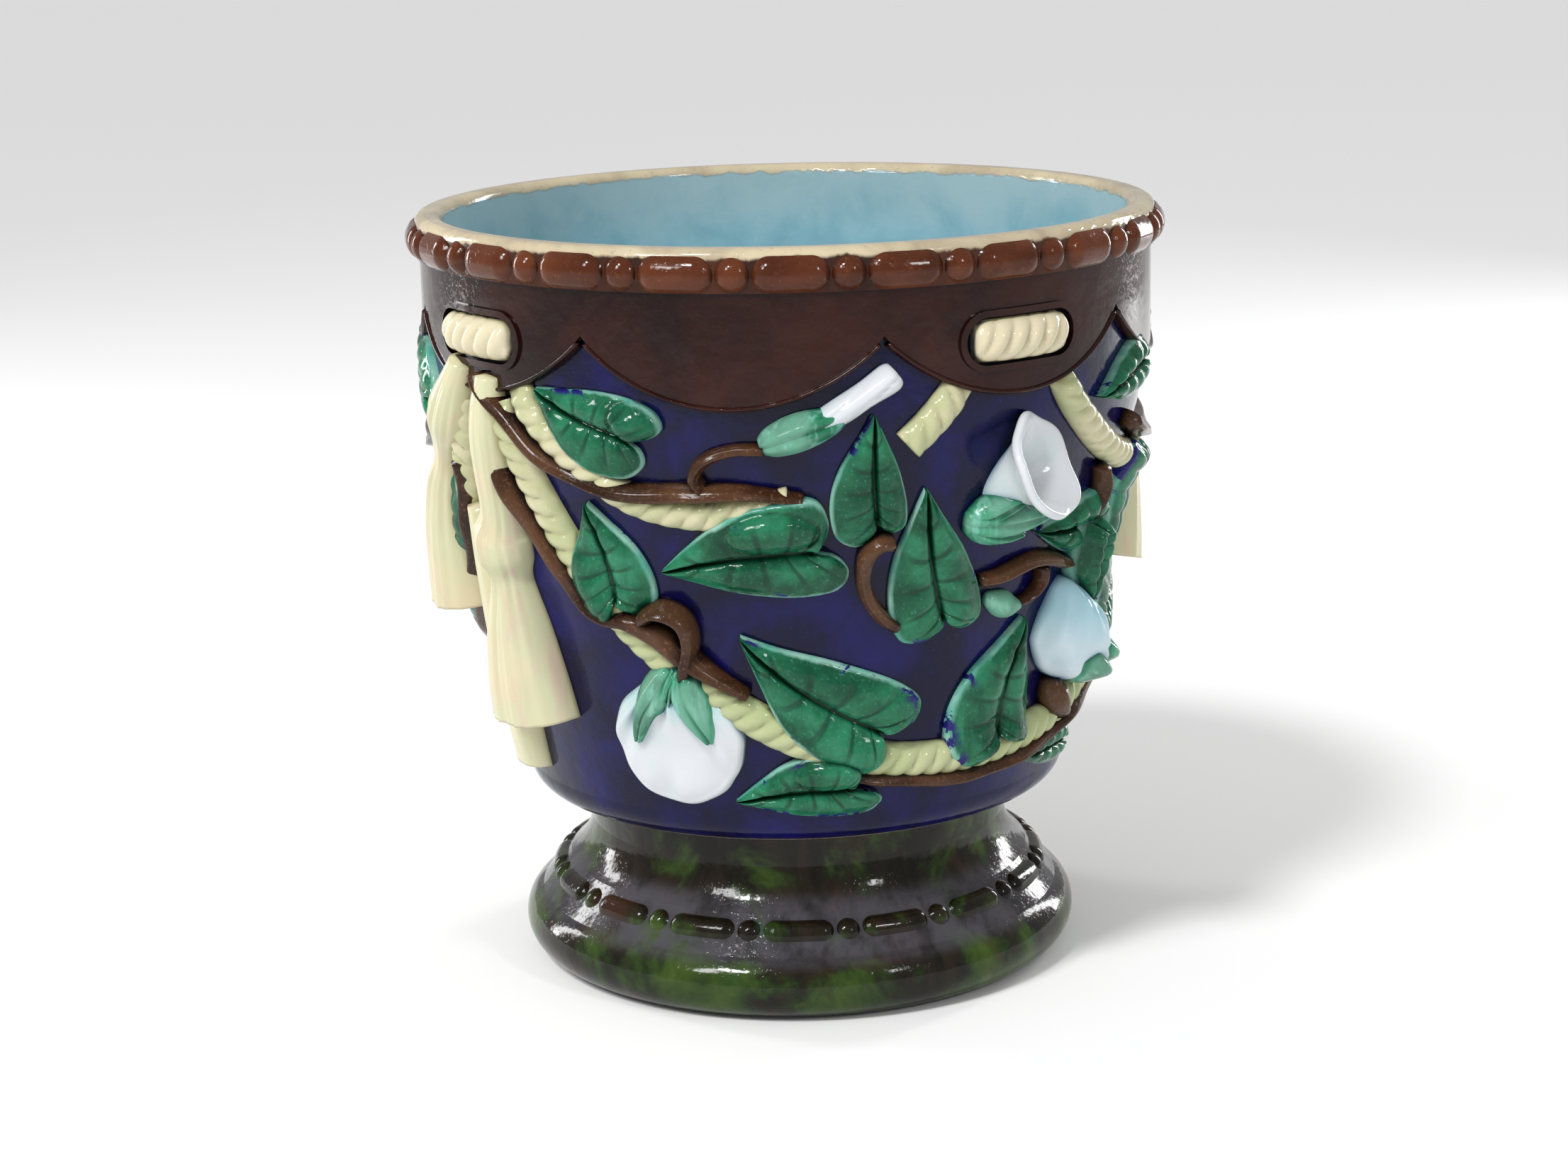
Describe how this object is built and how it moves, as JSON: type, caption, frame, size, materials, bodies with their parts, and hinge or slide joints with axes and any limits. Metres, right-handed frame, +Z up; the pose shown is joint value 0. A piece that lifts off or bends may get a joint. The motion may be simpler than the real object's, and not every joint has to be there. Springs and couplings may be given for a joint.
{
  "type": "jardiniere on stand",
  "caption": "Glazed pottery jardiniere on a low stand: cobalt bowl with draped ropes, vines, leaves, bindweed flowers and tassels in relief under a beaded rim.",
  "frame": {"origin": "bottom centre: on the floor, on the axis of the stand and the bowl", "axes": "+Z up along the axis of the bowl; -Y is the side with the open round flower and the left tassels, seen in the picture; +X to the right of it"},
  "size_m": [0.36, 0.3614, 0.3651],
  "materials": {
    "stand_glaze": "gloss",
    "stand_bead_glaze": "gloss",
    "blue_glaze": "gloss",
    "bead_glaze": "gloss",
    "drape_glaze": "gloss",
    "bud_glaze": "gloss",
    "white_glaze": "gloss",
    "leaf_glaze": "gloss",
    "vine_glaze": "gloss",
    "rope_glaze": "gloss",
    "tassel_glaze": "gloss",
    "pale_blue_glaze": "gloss"
  },
  "bodies": {
    "stand": {"stand": "stand_glaze", "stand_beads": "stand_bead_glaze"},
    "jardiniere": {"bowl": "blue_glaze", "rim_long_beads": "bead_glaze", "rim_round_beads": "bead_glaze", "drape": "drape_glaze", "bud_calyx": "bud_glaze", "bud_flower": "white_glaze", "bud_leaf": "leaf_glaze", "bud_twig": "vine_glaze", "curl_twig": "vine_glaze", "disc_calyx_left": "bud_glaze", "disc_calyx_right": "bud_glaze", "disc_flower": "white_glaze", "drape_leaf": "leaf_glaze", "eyelet_leaf": "leaf_glaze", "eyelet_rope_loops": "rope_glaze", "far_drape_leaf": "leaf_glaze", "far_great_leaf": "leaf_glaze", "far_tassel_leaf": "leaf_glaze", "flower_stalk": "vine_glaze", "folded_leaf": "leaf_glaze", "foot_leaf": "leaf_glaze", "great_leaf": "leaf_glaze", "hanging_leaf": "leaf_glaze", "left_tassel": "tassel_glaze", "low_tassel": "tassel_glaze", "lower_rope": "rope_glaze", "lower_vine": "vine_glaze", "middle_tassel": "tassel_glaze", "middle_vine": "vine_glaze", "side_calyx": "bud_glaze", "side_flower": "pale_blue_glaze", "side_leaf": "leaf_glaze", "small_bud": "bud_glaze", "tall_leaf": "leaf_glaze", "tassel_leaf": "leaf_glaze", "trumpet_calyx": "bud_glaze", "trumpet_flower": "white_glaze", "trumpet_leaf": "leaf_glaze", "twin_leaf": "leaf_glaze", "upper_rope_front": "rope_glaze", "upper_rope_side": "rope_glaze", "upper_vine": "vine_glaze", "vine_knot": "vine_glaze", "vine_leaf": "leaf_glaze"}
  },
  "joints": [
    {"name": "lift_off", "type": "slide", "parent": "stand", "child": "jardiniere", "axis": [0, 0, 1], "range_m": [0, 0.15]}
  ]
}
